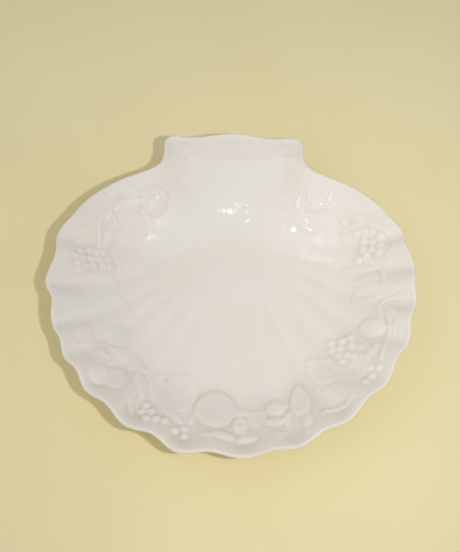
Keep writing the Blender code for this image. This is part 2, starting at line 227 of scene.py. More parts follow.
def hinge(x, y, z):
    """Lifts the hinge's band, with a soft crease under it."""
    on = smooth(y - crease(x), -1.4, 3.0) * (1.0 - smooth(np.abs(x), 56.0, 60.5))
    level = RIM_HEIGHT - LEDGE_DROP
    return z + np.maximum(level - z, 0.0) * on


def lower(x, y):
    """Height of the underside: the plain upper surface less the body's thickness, square to the slope."""
    z, d = dish(x, y, True)
    step = 0.5
    zx = (dish(x + step, y, True)[0] - dish(x - step, y, True)[0]) / (2.0 * step)
    zy = (dish(x, y + step, True)[0] - dish(x, y - step, True)[0]) / (2.0 * step)
    slope = np.sqrt(1.0 + zx ** 2 + zy ** 2)
    wall = smooth(z, FLOOR_HEIGHT + 1.0, FLOOR_HEIGHT + 9.0)
    body = FLOOR_THICKNESS + (WALL_THICKNESS - FLOOR_THICKNESS) * wall
    rim = 1.0 - smooth(d, 0.0, 14.0)
    return z - body * slope * (1.0 - rim) - LIP_THICKNESS * slope * rim


def foot_loop(bearings, offset):
    t = np.arctan2(np.sin(bearings) / FOOT_HALF_WIDTH, np.cos(bearings) / FOOT_HALF_LENGTH)
    px, py = FOOT_HALF_LENGTH * np.cos(t), FOOT_HALF_WIDTH * np.sin(t)
    nx, ny = np.cos(t) / FOOT_HALF_LENGTH, np.sin(t) / FOOT_HALF_WIDTH
    size = np.hypot(nx, ny)
    return FOOT_CENTRE[0] + px + offset * nx / size, FOOT_CENTRE[1] + py + offset * ny / size


# ---------------------------------------------------------------- relief of fruit and leaves

STEP = 0.5          # grid of the relief, mm
LEFT, FRONT = -156.0, -146.0
GRID_X = np.arange(LEFT, 156.1, STEP)
GRID_Y = np.arange(FRONT, 146.1, STEP)


class Relief:
    """Height of the ornament above the dish, on a grid, built up from single motifs."""

    def __init__(self):
        self.height = np.zeros((len(GRID_Y), len(GRID_X)))
        self.carve = np.zeros_like(self.height)

    def window(self, x0, x1, y0, y1):
        i0, i1 = np.searchsorted(GRID_X, (x0, x1))
        j0, j1 = np.searchsorted(GRID_Y, (y0, y1))
        x, y = np.meshgrid(GRID_X[i0:i1], GRID_Y[j0:j1])
        return (slice(j0, j1), slice(i0, i1)), x, y

    def add(self, at, height):
        self.height[at] = np.maximum(self.height[at], height)

    def cut(self, at, amount):
        self.carve[at] = np.maximum(self.carve[at], amount)

    def local(self, cx, cy, a, b, turn, margin=1.5):
        reach = max(a, b) + margin
        at, x, y = self.window(cx - reach, cx + reach, cy - reach, cy + reach)
        c, s = math.cos(math.radians(turn)), math.sin(math.radians(turn))
        return at, ((x - cx) * c + (y - cy) * s) / a, (-(x - cx) * s + (y - cy) * c) / b

    def dome(self, cx, cy, a, b=None, turn=0.0, h=1.8, full=0.6, flat=2.2):
        """Round fruit: an ellipse with a rounded top and a crisp edge."""
        b = b or a
        at, u, v = self.local(cx, cy, a, b, turn)
        r = np.hypot(u, v)
        self.add(at, h * np.clip(1.0 - r ** flat, 0.0, 1.0) ** full)

    def dimple(self, cx, cy, r, h):
        at, u, v = self.local(cx, cy, r, r, 0.0, 2.0)
        self.cut(at, h * np.exp(-2.2 * (u * u + v * v)))

    def ring(self, cx, cy, a, b, turn, width, h, base=0.0):
        at, u, v = self.local(cx, cy, a, b, turn, 3.0 * width)
        r = np.hypot(u, v)
        size = 0.5 * (a + b)
        self.add(at, base * (r < 1.0) + h * np.exp(-(((r - 1.0) * size) / width) ** 2))

    def star(self, cx, cy, r, points=5, turn=0.0, h=1.2, sharp=0.5):
        at, u, v = self.local(cx, cy, r, r, turn)
        edge = 1.0 - sharp * (0.5 - 0.5 * np.cos(points * np.arctan2(v, u)))
        q = np.hypot(u, v) / edge
        self.add(at, h * np.clip(1.0 - q ** 2, 0.0, 1.0) ** 0.6)

    def stroke(self, points, radius, h, end=None, full=0.6, carve=False):
        """Stem or tendril along a smooth line, whose radius may taper to the end."""
        line = spline(points, 10, False) if len(points) > 2 else np.linspace(points[0], points[1], 12)
        end = radius if end is None else end
        reach = max(radius, end) + 1.0
        at, x, y = self.window(line[:, 0].min() - reach, line[:, 0].max() + reach, line[:, 1].min() - reach, line[:, 1].max() + reach)
        best = np.full(x.shape, 1e9)
        width = np.full(x.shape, radius)
        for k in range(len(line) - 1):
            a, d = line[k], line[k + 1] - line[k]
            t = np.clip(((x - a[0]) * d[0] + (y - a[1]) * d[1]) / max(float(d @ d), 1e-9), 0.0, 1.0)
            gap = np.hypot(x - a[0] - t * d[0], y - a[1] - t * d[1])
            nearer = gap < best
            best = np.where(nearer, gap, best)
            width = np.where(nearer, radius + (end - radius) * (k + t) / (len(line) - 1), width)
        shape = np.clip(1.0 - (best / width) ** 2, 0.0, 1.0) ** full
        if carve:
            self.cut(at, h * shape)
        else:
            self.add(at, h * shape * np.clip(width / radius, 0.5, 1.0))

    def leaf(self, base, tip, half, h=1.0, bow=0.0, veins=4, teeth=0.0, rib=0.4, fat=0.8):
        """Pointed leaf from its stalk to its tip, with a midrib and side veins. bow bends the midrib sideways."""
        base, tip = np.array(base, float), np.array(tip, float)
        axis = tip - base
        size = float(np.linalg.norm(axis))
        axis /= size
        side = np.array([-axis[1], axis[0]])
        reach = half * 1.3 + abs(bow) + 1.0
        low, high = np.minimum(base, tip) - reach, np.maximum(base, tip) + reach
        at, x, y = self.window(low[0], high[0], low[1], high[1])
        t = ((x - base[0]) * axis[0] + (y - base[1]) * axis[1]) / size
        s = (x - base[0]) * side[0] + (y - base[1]) * side[1]
        inside = np.clip(t, 0.0, 1.0)
        s = s - bow * 4.0 * inside * (1.0 - inside)
        width = half * np.sin(np.pi * inside ** fat) ** 0.8
        if teeth:
            width = width * (1.0 + teeth * np.sin(2.0 * np.pi * (veins + 1.5) * inside))
        width = np.maximum(width, 1e-3)
        q = np.abs(s) / width
        body = np.clip(1.0 - q ** 4, 0.0, 1.0) ** 0.55 * ((t > 0.0) & (t < 1.0))
        across = np.minimum(q, 1.0)
        top = 0.62 + 0.38 * across
        vein = 0.5 + 0.5 * np.cos(2.0 * np.pi * (veins * inside - 0.55 * across * half / size * veins))
        top = top - 0.16 * vein ** 4 * smooth(across, 0.1, 0.4)
        middle = rib * np.exp(-(s / 0.8) ** 2)
        self.add(at, body * (h * top + middle))

    def sheet(self, outline, h, centre=None, veins=(), soft=1.2, dip=0.35, cup=6.0):
        """Broad lobed leaf: a flat field inside a closed outline, its edge turned up a little, and veins that fan from one point."""
        line = spline(outline, 8, True)
        at, x, y = self.window(line[:, 0].min() - 2, line[:, 0].max() + 2, line[:, 1].min() - 2, line[:, 1].max() + 2)
        inside = np.zeros(x.shape, bool)
        gap = np.full(x.shape, 1e9)
        for k in range(len(line)):
            a, b = line[k - 1], line[k]
            crosses = (a[1] > y) != (b[1] > y)
            with np.errstate(divide="ignore", invalid="ignore"):
                where = (b[0] - a[0]) * (y - a[1]) / (b[1] - a[1]) + a[0]
            inside ^= crosses & (x < where)
            d = b - a
            t = np.clip(((x - a[0]) * d[0] + (y - a[1]) * d[1]) / max(float(d @ d), 1e-9), 0.0, 1.0)
            gap = np.minimum(gap, np.hypot(x - a[0] - t * d[0], y - a[1] - t * d[1]))
        level = np.clip(gap / soft, 0.0, 1.0) * (2.0 - np.clip(gap / soft, 0.0, 1.0))
        level = level * (1.0 - dip * smooth(gap, 0.8, cup))
        self.add(at, np.where(inside, h * level, 0.0))
        for vein in veins:
            self.stroke(vein, 0.9, 0.45 * h + 0.15, end=0.4, carve=True)

    def grapes(self, centres, r=3.2, h=1.8):
        for x, y in centres:
            self.dome(x, y, r, r, 0.0, h, 0.55, 2.0)


def blur(a, sigma):
    """Close to a Gaussian blur of this many millimetres: three passes of a box."""
    width = max(int(round(math.sqrt(4.0 * (sigma / STEP) ** 2 + 1.0))), 1) | 1
    for _ in range(3):
        for axis in (0, 1):
            padded = np.pad(a, [(width // 2 + 1, width // 2) if k == axis else (0, 0) for k in (0, 1)], mode="edge")
            total = np.cumsum(padded, axis=axis)
            a = (np.take(total, range(width, total.shape[axis]), axis) - np.take(total, range(total.shape[axis] - width), axis)) / width
    return a


def ornament():
    m = Relief()

    # Back left: a small round fruit with its calyx, two leaves, a large round fruit, a pod and a hanging bunch of grapes.
    m.dome(-68.0, 78.5, 11.0, 10.5, 0.0, 1.4)
    m.stroke([(-77.5, 83.0), (-72.5, 87.5), (-67.0, 88.8), (-61.0, 87.5), (-57.0, 83.0)], 1.2, 1.5)
    m.dimple(-67.0, 82.0, 3.4, 0.7)
    m.stroke([(-74.5, 76.0), (-74.0, 80.5), (-70.5, 84.0)], 1.0, 2.1)
    m.leaf((-78.0, 79.0), (-101.0, 69.0), 5.6, 0.9, 1.5, 5)
    m.leaf((-78.0, 83.0), (-104.0, 80.0), 4.6, 0.8, -3.0, 4)
    m.stroke([(-78.0, 81.0), (-84.0, 86.5), (-91.0, 87.0), (-95.0, 84.0)], 0.8, 0.8)
    m.star(-103.8, 63.7, 4.4, 5, 20.0, 1.3)
    m.stroke([(-103.0, 67.0), (-107.0, 70.0), (-112.0, 69.0)], 0.8, 0.8)
    m.dome(-88.0, 56.5, 14.2, 13.8, 0.0, 0.9)
    m.stroke([(-101.0, 62.5), (-97.5, 57.0), (-94.5, 50.5)], 0.9, 2.3)
    m.dome(-106.5, 45.0, 8.0, 3.2, 72.0, 1.5)
    m.sheet([(-136.0, 41.0), (-131.0, 47.0), (-124.5, 50.5), (-118.5, 49.0), (-116.5, 44.5), (-119.0, 40.0), (-126.0, 38.0)], 0.9,
            veins=[[(-117.5, 45.0), (-126.0, 43.5), (-134.0, 41.0)]])
    m.stroke([(-112.6, 58.0), (-113.0, 51.0), (-112.5, 44.0), (-112.8, 37.5)], 1.3, 1.2)
    m.stroke([(-117.5, 54.0), (-116.8, 47.0), (-117.2, 40.0)], 0.8, 0.8)
    m.grapes([(-126.5, 30.8), (-120.6, 33.7), (-115.1, 32.4), (-109.6, 33.6), (-130.2, 25.4), (-124.2, 24.9), (-118.6, 26.4), (-112.0, 27.4),
              (-105.4, 28.2), (-127.6, 19.4), (-122.0, 18.4), (-116.2, 20.6), (-108.6, 22.4), (-126.8, 13.9), (-103.4, 22.6)], 3.3, 1.9)
    m.stroke([(-99.0, 32.0), (-96.0, 26.0), (-95.0, 20.0), (-96.0, 13.0)], 0.9, 0.8)
    m.stroke([(-132.5, 17.0), (-133.5, 12.0), (-136.2, 5.0), (-136.4, -1.0), (-134.5, -6.0)], 0.9, 0.9)
    m.leaf((-97.0, 10.5), (-120.0, 11.5), 5.5, 0.8, -1.0, 5)
    m.dimple(-96.0, 10.4, 2.4, 0.7)

    # Left: sprigs, a ringed berry, a small fruit, a ringed fruit and leaves.
    m.leaf((-101.0, -2.0), (-83.0, -16.0), 5.0, 0.7, 0.0, 5)
    m.leaf((-119.0, -5.0), (-101.0, -14.0), 4.2, 0.6, 1.0, 4)
    m.stroke([(-134.0, -30.0), (-128.0, -25.5), (-121.5, -22.0), (-113.0, -27.0), (-100.0, -29.6)], 0.8, 0.8)
    m.stroke([(-122.0, -22.0), (-114.0, -24.0), (-108.0, -28.0)], 0.7, 0.6)
    m.ring(-130.3, -33.0, 4.8, 5.4, 0.0, 0.9, 0.9, 0.3)
    m.dome(-130.3, -33.0, 2.4, 2.8, 0.0, 0.9)
    m.dome(-119.0, -40.5, 7.6, 7.4, 0.0, 1.5)
    m.star(-112.6, -49.0, 4.6, 5, 10.0, 1.3)
    m.dome(-94.5, -37.5, 9.6, 9.0, 0.0, 1.5)
    m.ring(-94.5, -36.8, 6.4, 5.8, 0.0, 1.0, 0.5, 0.0)
    m.stroke([(-100.5, -38.0), (-98.5, -42.0), (-94.0, -44.0), (-89.5, -42.0), (-88.0, -37.5)], 1.0, 0.7, carve=True)
    m.leaf((-98.0, -49.0), (-69.0, -68.0), 5.8, 0.9, 1.5, 6)
    m.leaf((-119.0, -50.0), (-98.0, -58.5), 5.0, 0.8, 1.0, 5)
    m.stroke([(-111.0, -49.0), (-104.0, -47.5), (-98.0, -49.0)], 0.8, 0.8)

    # Front left: a pair of fruits, a leaf and tendril, berries and a broad leaf.
    m.dome(-103.2, -75.0, 9.2, 9.0, 0.0, 1.8)
    m.dome(-92.3, -76.3, 10.2, 9.8, 0.0, 2.0)
    m.stroke([(-99.0, -66.5), (-97.2, -72.0), (-98.5, -79.0)], 0.9, 0.6, carve=True)
    m.leaf((-76.0, -67.0), (-70.0, -91.0), 4.2, 0.8, 0.0, 5)
    m.leaf((-84.0, -66.0), (-74.0, -62.0), 3.0, 0.7)
    m.stroke([(-73.6, -82.0), (-78.0, -90.0), (-79.0, -98.0), (-76.9, -106.5)], 0.9, 0.9)
    m.stroke([(-84.0, -88.0), (-80.0, -94.0), (-79.0, -101.0)], 0.8, 0.7)
    m.grapes([(-67.2, -97.6), (-69.4, -103.6), (-62.7, -103.2), (-65.9, -109.4), (-58.2, -109.8), (-51.4, -111.0)], 3.5, 2.0)
    m.stroke([(-76.5, -107.0), (-70.0, -106.6), (-62.0, -106.6), (-54.0, -106.9), (-47.5, -109.0)], 0.9, 0.7, carve=True)
    m.sheet([(-66.5, -80.0), (-64.0, -71.0), (-58.5, -66.5), (-53.5, -70.0), (-52.8, -74.0), (-50.5, -69.5), (-44.0, -66.5), (-33.0, -68.5),
             (-27.5, -77.0), (-28.5, -87.0), (-33.0, -96.0), (-41.0, -101.5), (-50.0, -101.5), (-58.0, -97.0), (-64.0, -90.0)], 0.5,
            veins=[[(-52.9, -75.0), (-50.0, -84.0), (-47.0, -98.0)], [(-49.5, -86.0), (-41.0, -79.0), (-35.0, -74.0)],
                   [(-49.0, -89.0), (-57.0, -82.0), (-60.5, -74.0)], [(-48.0, -93.0), (-39.0, -90.0), (-32.0, -86.0)],
                   [(-48.5, -92.0), (-56.0, -91.0), (-62.0, -86.0)]], cup=9.0)
    m.dimple(-52.9, -73.0, 1.9, 1.3)
    m.grapes([(-43.6, -118.0), (-36.6, -116.2), (-36.6, -122.4)], 3.4, 2.0)
    m.leaf((-53.0, -99.5), (-37.0, -111.5), 3.6, 0.8, 0.0, 4)
    m.leaf((-33.0, -111.0), (-28.0, -100.0), 2.6, 0.7)

    # Front: an apple, small beans and a cherry, a flat leaf, two more fruits and a pointed one.
    m.dome(-13.0, -98.0, 16.6, 16.6, 0.0, 2.6, 0.5, 3.0)
    m.leaf((-24.5, -119.5), (-14.5, -122.0), 2.6, 1.0, 0.0, 3)
    m.leaf((-6.0, -97.0), (10.0, -104.0), 4.4, 1.0, 1.0, 4)
    m.sheet([(0.0, -98.0), (7.0, -96.5), (15.0, -98.6), (26.0, -99.2), (27.0, -106.0), (22.0, -112.0), (14.0, -112.0), (10.0, -104.0)], 0.8, dip=0.2)
    m.dome(6.7, -111.6, 6.6, 7.2, 0.0, 1.9)
    m.dimple(5.6, -110.6, 2.6, 1.4)
    m.stroke([(9.5, -117.0), (10.5, -111.0), (9.0, -106.0)], 1.2, 2.2)
    m.dome(-6.6, -121.8, 10.0, 3.9, -15.0, 2.0)
    m.dome(10.9, -124.2, 9.2, 4.0, 13.0, 2.0)
    m.dome(11.0, -119.6, 6.4, 2.8, 0.0, 1.2)
    m.dome(34.5, -96.8, 8.0, 7.8, 0.0, 1.9)
    m.dome(42.6, -95.0, 2.3, 2.3, 0.0, 1.4)
    m.dome(34.0, -108.6, 9.0, 4.2, 5.0, 1.7)
    m.stroke([(35.5, -111.5), (39.0, -109.5), (41.5, -106.0)], 1.2, 2.1)
    m.leaf((29.0, -120.8), (43.0, -120.2), 2.4, 0.9, 0.8, 3)
    m.leaf((31.0, -124.0), (41.0, -123.0), 1.9, 0.7, 0.0, 3)
    m.sheet([(54.3, -74.8), (50.0, -78.5), (46.8, -86.0), (45.6, -95.0), (47.5, -102.5), (53.0, -105.5), (59.5, -102.0), (62.5, -94.0), (61.5, -86.0), (58.5, -79.0)],
            1.7, soft=3.2, dip=0.0)
    for row in range(6):
        for column in range(4):
            px = 48.6 + 4.0 * column + 2.0 * (row % 2) - 0.25 * row
            m.dimple(px, -82.5 - 4.0 * row, 1.1, 0.45)
    m.leaf((46.5, -99.5), (44.0, -114.5), 3.4, 1.0, -2.2, 4)
    m.dome(57.5, -108.3, 4.4, 6.4, -15.0, 1.4)
    for k in range(6):
        m.dimple(55.6 + 3.4 * (k % 2), -104.8 - 2.6 * (k // 2), 0.8, 0.4)
    m.stroke([(68.8, -78.5), (68.0, -84.0), (69.0, -93.6)], 0.9, 0.8)

    # Front right: a broad leaf, a veined leaf over a curved stem, berries.
    m.sheet([(61.0, -54.5), (72.0, -53.0), (80.0, -53.5), (85.0, -58.0), (89.0, -62.0), (97.0, -58.0), (104.0, -52.0), (108.5, -54.0),
             (109.5, -63.0), (106.0, -71.0), (100.0, -75.0), (90.0, -75.5), (84.0, -73.0), (76.0, -76.0), (68.0, -74.0), (62.5, -66.0)], 0.75,
            veins=[[(89.0, -63.0), (86.0, -68.0), (78.0, -70.5), (68.0, -69.0)], [(88.5, -66.0), (94.0, -69.5), (102.0, -70.0)],
                   [(84.0, -69.0), (79.0, -63.0), (73.0, -58.0)], [(93.0, -69.0), (99.0, -63.0), (104.0, -57.0)]], cup=9.0, dip=0.45)
    m.leaf((72.0, -83.0), (97.0, -92.0), 7.6, 1.0, 2.0, 6, 0.05)
    m.stroke([(69.5, -104.0), (72.5, -101.8), (79.0, -101.0), (86.0, -98.6), (90.5, -94.0), (93.0, -88.0), (95.0, -84.0)], 1.6, 1.6, end=1.0)
    m.leaf((87.0, -84.0), (99.0, -85.0), 2.2, 0.8)
    m.grapes([(109.6, -65.6), (114.8, -67.0), (109.9, -72.9), (104.6, -77.6)], 3.2, 2.0)

    # Right: grapes, a pod, a plum with stems, a folded leaf and long leaves.
    m.grapes([(82.2, -39.9), (90.8, -38.2), (97.4, -36.4), (88.7, -44.9), (97.2, -43.6), (82.6, -46.2), (86.6, -51.6), (93.6, -51.4), (98.0, -53.6), (89.6, -57.0)], 3.5, 1.9)
    m.dome(112.0, -51.0, 9.0, 3.6, 46.0, 1.5)
    m.dome(114.0, -30.6, 10.2, 8.8, -2.0, 2.4, 0.5, 2.6)
    m.dome(106.0, -46.0, 5.0, 3.4, 0.0, 0.9)
    m.stroke([(123.0, -32.0), (127.0, -31.0), (130.5, -33.0)], 1.3, 1.6)
    m.stroke([(127.5, -33.0), (125.5, -40.0), (121.0, -49.0), (116.5, -60.0)], 1.2, 1.3)
    m.stroke([(131.0, -28.0), (130.6, -36.0), (127.5, -44.0)], 1.1, 1.1)
    m.stroke([(133.0, -29.0), (134.0, -35.0), (133.0, -42.0)], 0.9, 0.8)
    m.stroke([(141.0, -8.0), (132.0, -6.0), (125.0, -8.0), (120.8, -13.0), (120.5, -20.0), (122.0, -26.0)], 1.8, 1.2, end=1.0)
    m.stroke([(126.0, -12.0), (125.5, -20.0), (127.0, -27.0)], 1.1, 1.2)
    m.dome(128.5, -20.0, 4.0, 6.0, 10.0, 0.9)
    m.dimple(137.0, -17.5, 6.0, 1.2)
    m.sheet([(101.0, -3.0), (106.0, 7.0), (116.0, 10.0), (126.0, 8.0), (139.0, 3.0), (133.0, -2.0), (122.0, -5.5), (110.0, -6.5)], 0.9,
            veins=[[(101.5, -3.0), (114.0, 0.5), (126.0, 2.5), (137.0, 2.5)]])
    m.dimple(100.8, -3.4, 2.6, 0.9)
    m.leaf((104.0, 12.0), (127.0, 17.0), 4.4, 0.9, -1.0, 4)
    m.leaf((93.5, 25.4), (123.0, 24.0), 3.0, 1.0, -1.2, 5)
    m.stroke([(124.6, 20.0), (125.2, 12.0), (124.4, 7.0)], 0.9, 1.0)
    m.stroke([(121.5, 21.0), (122.8, 14.0)], 1.3, 0.8, carve=True)

    # Back right: a scalloped blossom, thin stems, a large round fruit, a vine and a bunch of grapes.
    m.star(46.5, 62.5, 9.0, 6, 0.0, 0.6, 0.22)
    m.dimple(46.5, 62.5, 3.6, 0.3)
    m.dome(46.5, 62.5, 1.8, 1.8, 0.0, 0.3)
    m.stroke([(20.0, 88.0), (30.0, 85.6), (42.0, 82.0)], 0.8, 0.5)
    m.stroke([(42.0, 79.0), (46.0, 78.4), (52.0, 77.0)], 1.3, 0.8)
    m.stroke([(54.8, 78.0), (55.2, 84.0), (59.5, 88.5), (64.0, 87.5), (65.5, 83.0)], 0.9, 0.8)
    m.leaf((66.0, 80.0), (83.0, 88.0), 4.6, 0.9, -1.5, 5)
    m.leaf((63.0, 76.0), (82.0, 76.0), 3.4, 0.8, 0.5, 4)
    m.leaf((52.0, 70.0), (66.0, 60.5), 4.0, 0.7, 0.0, 4)
    m.dome(78.5, 58.0, 13.4, 13.4, 0.0, 0.8)
    m.dimple(69.0, 58.5, 3.0, 0.8)
    m.leaf((64.0, 50.0), (60.0, 38.0), 4.2, 0.6, 0.0, 4)
    m.leaf((64.0, 39.0), (84.0, 36.0), 3.6, 0.7, 1.2, 5)
    m.dome(105.5, 65.6, 8.0, 3.0, -24.0, 1.4)
    m.dome(94.0, 64.0, 2.2, 3.0, 0.0, 1.4)
    m.stroke([(90.5, 57.0), (99.0, 58.5), (106.0, 60.0), (112.0, 60.0), (122.0, 55.0), (131.0, 50.0)], 1.0, 1.1)
    m.leaf((92.0, 50.0), (104.0, 52.5), 3.0, 0.9)
    m.grapes([(106.0, 52.4), (112.0, 52.6), (118.0, 52.4), (112.0, 46.8), (118.2, 45.0), (124.3, 47.6), (110.4, 40.4), (117.2, 38.8), (123.8, 41.2),
              (121.8, 34.8), (112.6, 34.4), (106.8, 31.8)], 3.3, 1.9)
    m.stroke([(129.0, 50.0), (133.0, 46.0), (133.6, 40.0), (131.5, 34.0), (128.5, 30.5), (131.0, 28.6)], 0.8, 0.8)

    # Faint lumps on the slope below the hinge, and in the middle of the tab.
    for x, y, r, h in ((-22.0, 76.5, 3.0, 0.30), (-11.5, 78.5, 3.6, 0.26), (-7.0, 78.5, 3.2, 0.24), (-1.5, 78.4, 3.4, 0.26), (12.6, 83.0, 3.2, 0.70),
                       (12.0, 77.5, 2.6, 0.55), (13.0, 71.4, 3.0, 0.80), (9.0, 67.8, 2.6, 0.70), (-0.8, 61.0, 3.4, 1.00), (-5.8, 58.0, 3.0, 0.90),
                       (-15.0, 72.0, 3.4, 0.12), (3.0, 69.0, 3.2, 0.12), (4.0, 84.0, 3.4, 0.12), (-8.0, 67.0, 3.2, 0.12)):
        m.dome(x, y, r, r, 0.0, h, 1.0, 2.0)
    for x, y, a, b, h in ((8.5, 116.0, 2.6, 5.0, 0.35), (13.5, 109.0, 3.4, 3.0, 0.4), (18.5, 110.5, 2.6, 4.0, 0.35), (12.5, 119.0, 3.0, 2.4, 0.25)):
        m.dome(x, y, a, b, 0.0, h, 0.8, 2.0)
    m.dimple(-7.0, 123.5, 2.4, 0.3)
    return m


def bead(x, y):
    """Low ridge under the hinge's two ledges, and a shallow groove along the crease of its band."""
    ax = np.abs(x)
    ridge = 0.32 * np.exp(-((y - crease(x) + 5.0) / 1.6) ** 2) * smooth(ax, 33.0, 38.0) * (1.0 - smooth(ax, 50.0, 55.0))
    groove = 0.16 * np.exp(-((y - crease(x) + 0.3) / 1.3) ** 2) * (1.0 - smooth(ax, 53.0, 58.0))
    return ridge - groove


def relief_maps():
    """(height, cavity): the ornament as a thick glaze leaves it, and how far each place lies below its surroundings."""
    m = ornament()
    x, y = np.meshgrid(GRID_X, GRID_Y)
    worn = 0.58 + 0.34 * smooth(0.35 * x - y, -10.0, 50.0) - 0.30 * smooth(x, 60.0, 90.0) * (1.0 - smooth(y, -2.0, 25.0))
    m.height *= worn
    m.carve *= worn
    height = np.maximum(m.height - m.carve * smooth(m.height, 0.05, 0.5), -0.3) - 0.5 * m.carve * (1.0 - smooth(m.height, 0.05, 0.5))
    height = blur(height, 0.55)
    near, wide = blur(height, 1.8), blur(height, 7.0)
    carved = height + 0.40 * (height - near)
    cavity = (near - height) + 0.25 * (wide - height)
    return carved, cavity


RELIEF, CAVITY = relief_maps()


def sample(grid, x, y):
    u = np.clip((x - LEFT) / STEP, 0.0, grid.shape[1] - 1.001)
    v = np.clip((y - FRONT) / STEP, 0.0, grid.shape[0] - 1.001)
    i, j = u.astype(int), v.astype(int)
    u, v = u - i, v - j
    return (grid[j, i] * (1 - u) + grid[j, i + 1] * u) * (1 - v) + (grid[j + 1, i] * (1 - u) + grid[j + 1, i + 1] * u) * v


# ---------------------------------------------------------------- the mesh

COLUMNS = 800
FINE_ROWS = np.arange(0.0, 0.4201, 0.0058)
MIDDLE_ROWS = np.arange(0.432, 0.751, 0.0110)
INNER_ROWS = np.arange(0.772, 0.981, 0.0230)
LIP_STEPS = 7


def edge_columns():
    """Points of the edge that the columns start from, closer together round the dish than along the hinge tab."""
    loop = np.vstack([EDGE, EDGE[:1]])
    steps = np.linalg.norm(np.diff(loop, axis=0), axis=1)
    middle = 0.5 * (loop[1:] + loop[:-1])
    away = middle - np.array(UMBO)
    across = np.abs(away[:, 0] * np.diff(loop, axis=0)[:, 1] - away[:, 1] * np.diff(loop, axis=0)[:, 0]) / np.linalg.norm(away, axis=1)
    weight = np.maximum(across, 0.45 * steps) * (1.0 - 0.35 * smooth(middle[:, 1], 128.0, 134.0))
    s = np.concatenate([[0.0], np.cumsum(weight)])
    at = np.linspace(0.0, s[-1], COLUMNS, endpoint=False)
    return np.column_stack([np.interp(at, s, loop[:, 0]), np.interp(at, s, loop[:, 1])])


class Skin:
    """Closed skin built ring by ring, each ring joined to the one before."""

    def __init__(self):
        self.points, self.kinds, self.faces, self.count = [], [], [], 0

    def ring(self, x, y, z, kind):
        start = self.count
        self.points.append(np.column_stack([x, y, z]))
        self.kinds.append(np.full(len(x), kind))
        self.count += len(x)
        return np.arange(start, self.count)

    def band(self, first, second, flip=False):
        n, m = len(first), len(second)
        after = np.roll(second, -1)
        if n == m:
            faces = [np.column_stack([first, np.roll(first, -1), after, second])]
        else:
            a, b, c = first[0::2], first[1::2], np.roll(first[0::2], -1)
            faces = [np.column_stack([a, b, second]), np.column_stack([b, c, after, second])]
        for f in faces:
            self.faces += (f[:, ::-1] if flip else f).tolist()

    def cap(self, ring, x, y, z, kind, flip=False):
        middle = self.ring(np.array([x]), np.array([y]), np.array([z]), kind)[0]
        f = np.column_stack([ring, np.roll(ring, -1), np.full(len(ring), middle)])
        self.faces += (f[:, ::-1] if flip else f).tolist()


UPPER, LIP, UNDER, FOOT = 0, 1, 2, 3


